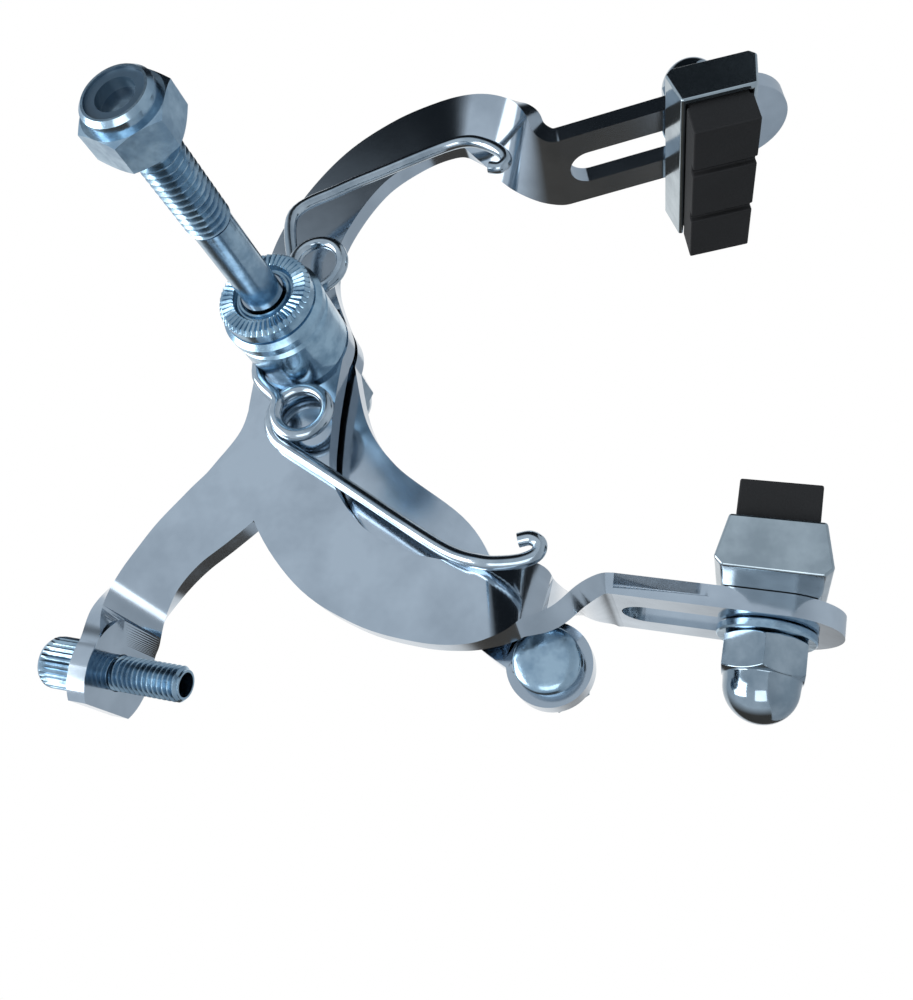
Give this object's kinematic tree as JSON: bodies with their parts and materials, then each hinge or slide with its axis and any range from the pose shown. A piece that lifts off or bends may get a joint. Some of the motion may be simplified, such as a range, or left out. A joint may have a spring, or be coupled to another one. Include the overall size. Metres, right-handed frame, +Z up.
{
  "type": "side-pull caliper brake",
  "caption": "Side-pull bicycle rim brake: two curved pressed-steel arms on one centre bolt, a wire return spring, a barrel adjuster, a cable anchor and rubber shoes in slots.",
  "frame": {"origin": "on the centre bolt's axis, at the toothed face that seats on the fork crown", "axes": "+Y along the bolt to the rear, towards the fork; +Z up as mounted; +X towards the cable side"},
  "size_m": [0.1077, 0.0772, 0.1079],
  "materials": {
    "bolt_zinc": "bright zinc",
    "nut_zinc": "bright zinc",
    "shoe_nut_chrome": "polished plating",
    "nylon": "moulded nylon",
    "seat_zinc": "turned and bright zinc plated",
    "spring_steel": "plated spring wire",
    "arm_chrome": "bright plating on pressed steel",
    "holder_steel": "plated sheet",
    "rubber": "moulded, matt"
  },
  "bodies": {
    "centre": {"centre_bolt": "bolt_zinc", "frame_nut": "nut_zinc", "frame_nut_insert": "nylon", "toothed_washer": "seat_zinc", "spacer_washer": "seat_zinc", "spring_block": "seat_zinc", "return_spring": "spring_steel", "pivot_washer": "nut_zinc", "front_washer": "nut_zinc", "adjusting_nut": "nut_zinc", "pivot_cap_nut": "nut_zinc"},
    "cable_side_arm": {"cable_arm": "arm_chrome", "adjuster_ring": "nut_zinc"},
    "far_side_arm": {"curved_arm": "arm_chrome", "anchor_bolt": "bolt_zinc", "anchor_washer": "nut_zinc", "anchor_nut": "nut_zinc"},
    "adjuster": {"barrel_adjuster": "bolt_zinc"},
    "near_shoe": {"near_holder": "holder_steel", "near_rubber": "rubber", "near_stud": "bolt_zinc", "near_washer": "shoe_nut_chrome", "near_nut": "shoe_nut_chrome"},
    "far_shoe": {"far_holder": "holder_steel", "far_rubber": "rubber", "far_stud": "bolt_zinc", "far_washer": "shoe_nut_chrome", "far_nut": "shoe_nut_chrome"}
  },
  "joints": [
    {"name": "cable_arm_hinge", "type": "hinge", "parent": "centre", "child": "cable_side_arm", "pos_m": [0, -0.0156, 0], "axis": [0, 1, 0], "range_deg": [0, 14], "stiffness_Nm_per_rad": 1, "springref_deg": -2.86, "deforming": ["return_spring"]},
    {"name": "curved_arm_hinge", "type": "hinge", "parent": "centre", "child": "far_side_arm", "pos_m": [0, -0.0196, 0], "axis": [0, -1, 0], "range_deg": [0, 14], "stiffness_Nm_per_rad": 1, "springref_deg": -2.86},
    {"name": "adjuster_travel", "type": "slide", "parent": "cable_side_arm", "child": "adjuster", "axis": [-0.1736, 0, 0.9848], "range_m": [0, 0.005]},
    {"name": "near_shoe_height", "type": "slide", "parent": "cable_side_arm", "child": "near_shoe", "axis": [-0.1736, 0, 0.9848], "range_m": [-0.0016, 0.01]},
    {"name": "far_shoe_height", "type": "slide", "parent": "far_side_arm", "child": "far_shoe", "axis": [0.1736, 0, 0.9848], "range_m": [-0.005, 0.01]}
  ]
}
